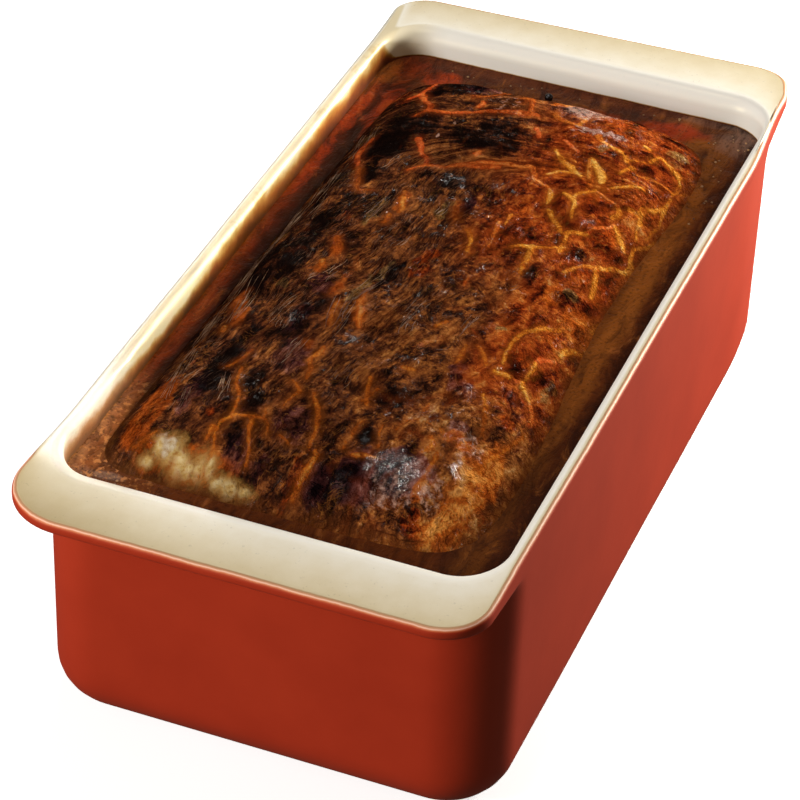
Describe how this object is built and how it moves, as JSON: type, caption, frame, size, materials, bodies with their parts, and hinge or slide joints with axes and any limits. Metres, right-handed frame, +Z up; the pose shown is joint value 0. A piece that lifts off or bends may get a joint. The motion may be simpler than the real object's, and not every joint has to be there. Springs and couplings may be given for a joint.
{
  "type": "country pate in a stoneware terrine",
  "caption": "Baked country pate with a browned caul-fat crust, standing in set juices in an oblong glazed terrine with flat end flanges.",
  "frame": {"origin": "centre of the flat base, on the surface it stands on", "axes": "+X along the dish, towards the far flange; +Y across it; +Z up"},
  "size_m": [0.3, 0.135, 0.0896],
  "materials": {
    "glazed_stoneware": "gloss glaze, brick red outside, cream inside and over the rim",
    "browned_meat": "wet browned crust with a net of golden fat",
    "set_juice": "still, glossy dark jelly"
  },
  "bodies": {
    "root": {"terrine_dish": "glazed_stoneware", "pate_loaf": "browned_meat", "juice_jelly": "set_juice"}
  },
  "joints": []
}
